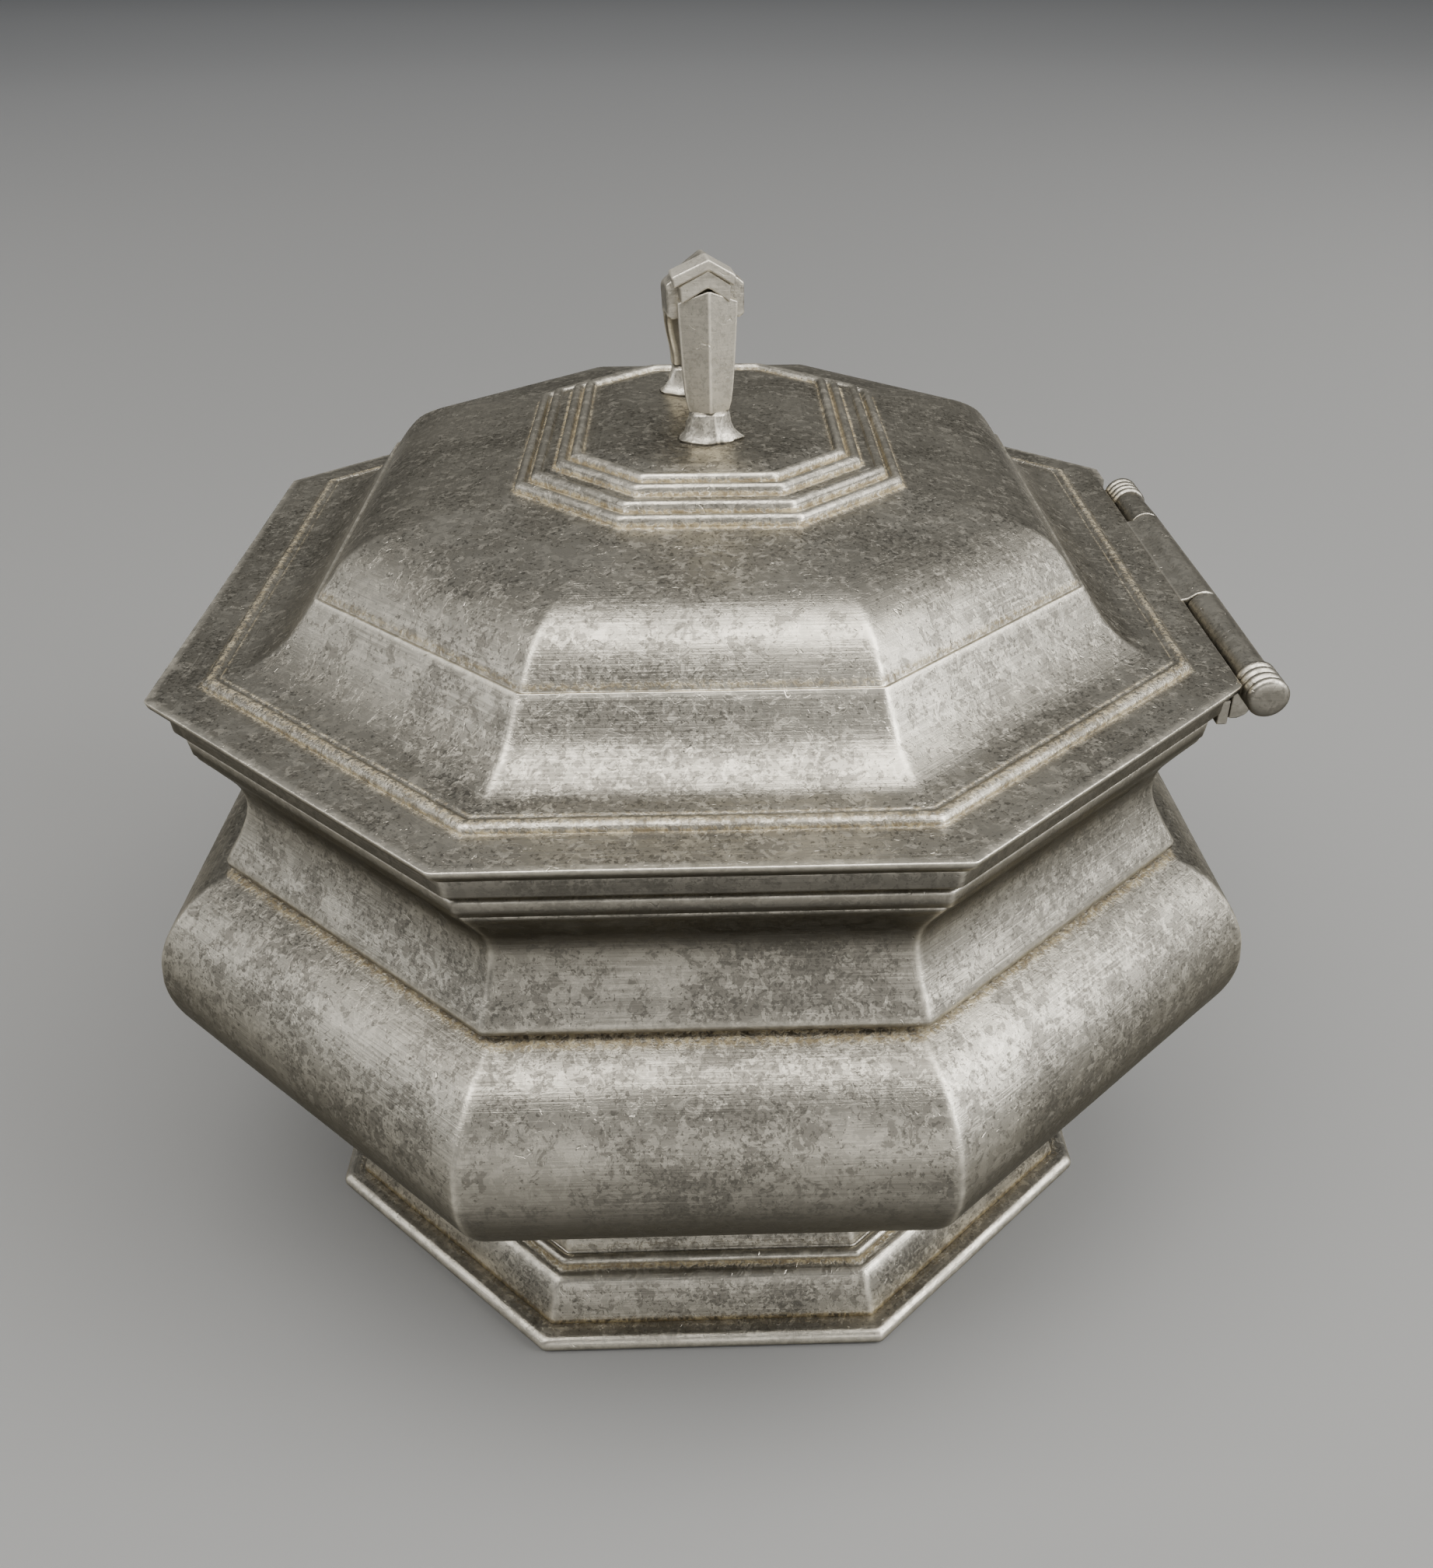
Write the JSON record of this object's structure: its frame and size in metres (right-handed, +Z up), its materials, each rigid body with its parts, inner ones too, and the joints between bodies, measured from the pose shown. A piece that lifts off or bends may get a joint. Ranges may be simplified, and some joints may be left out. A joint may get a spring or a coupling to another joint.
{
  "type": "lidded sugar bowl",
  "caption": "Octagonal pewter sugar bowl on a spreading foot, with a bulging body, a hinged domed lid and a strap loop finial.",
  "frame": {"origin": "on the table under the middle of the bowl", "axes": "+Z up, +X towards the hinge, +Y towards the back"},
  "size_m": [0.1346, 0.1466, 0.1252],
  "materials": {
    "body_pewter": "aged satin pewter, brushed along the sides, dark residue in the seams",
    "lid_pewter": "aged satin pewter with a mottled patina, worn bright on its edges and mitres",
    "finial_pewter": "satin pewter polished by handling",
    "hinge_pewter": "satin pewter, darker in the turned grooves"
  },
  "bodies": {
    "base": {"foot_wire": "body_pewter", "foot": "body_pewter", "bowl": "body_pewter", "collar": "body_pewter", "rim_frame": "body_pewter", "hinge_plate": "hinge_pewter", "hinge_knuckle_front": "hinge_pewter", "hinge_knuckle_back": "hinge_pewter", "hinge_pin": "hinge_pewter"},
    "lid": {"lid_shell": "lid_pewter", "lid_bezel": "lid_pewter", "hinge_knuckle_lid": "hinge_pewter", "finial_leg": "finial_pewter", "finial_hood": "finial_pewter", "finial_foot_front": "finial_pewter", "finial_foot_back": "finial_pewter"}
  },
  "joints": [
    {"name": "lid_hinge", "type": "hinge", "parent": "base", "child": "lid", "pos_m": [0.0636, 0, 0.082], "axis": [0, 1, 0], "range_deg": [0, 105]}
  ]
}
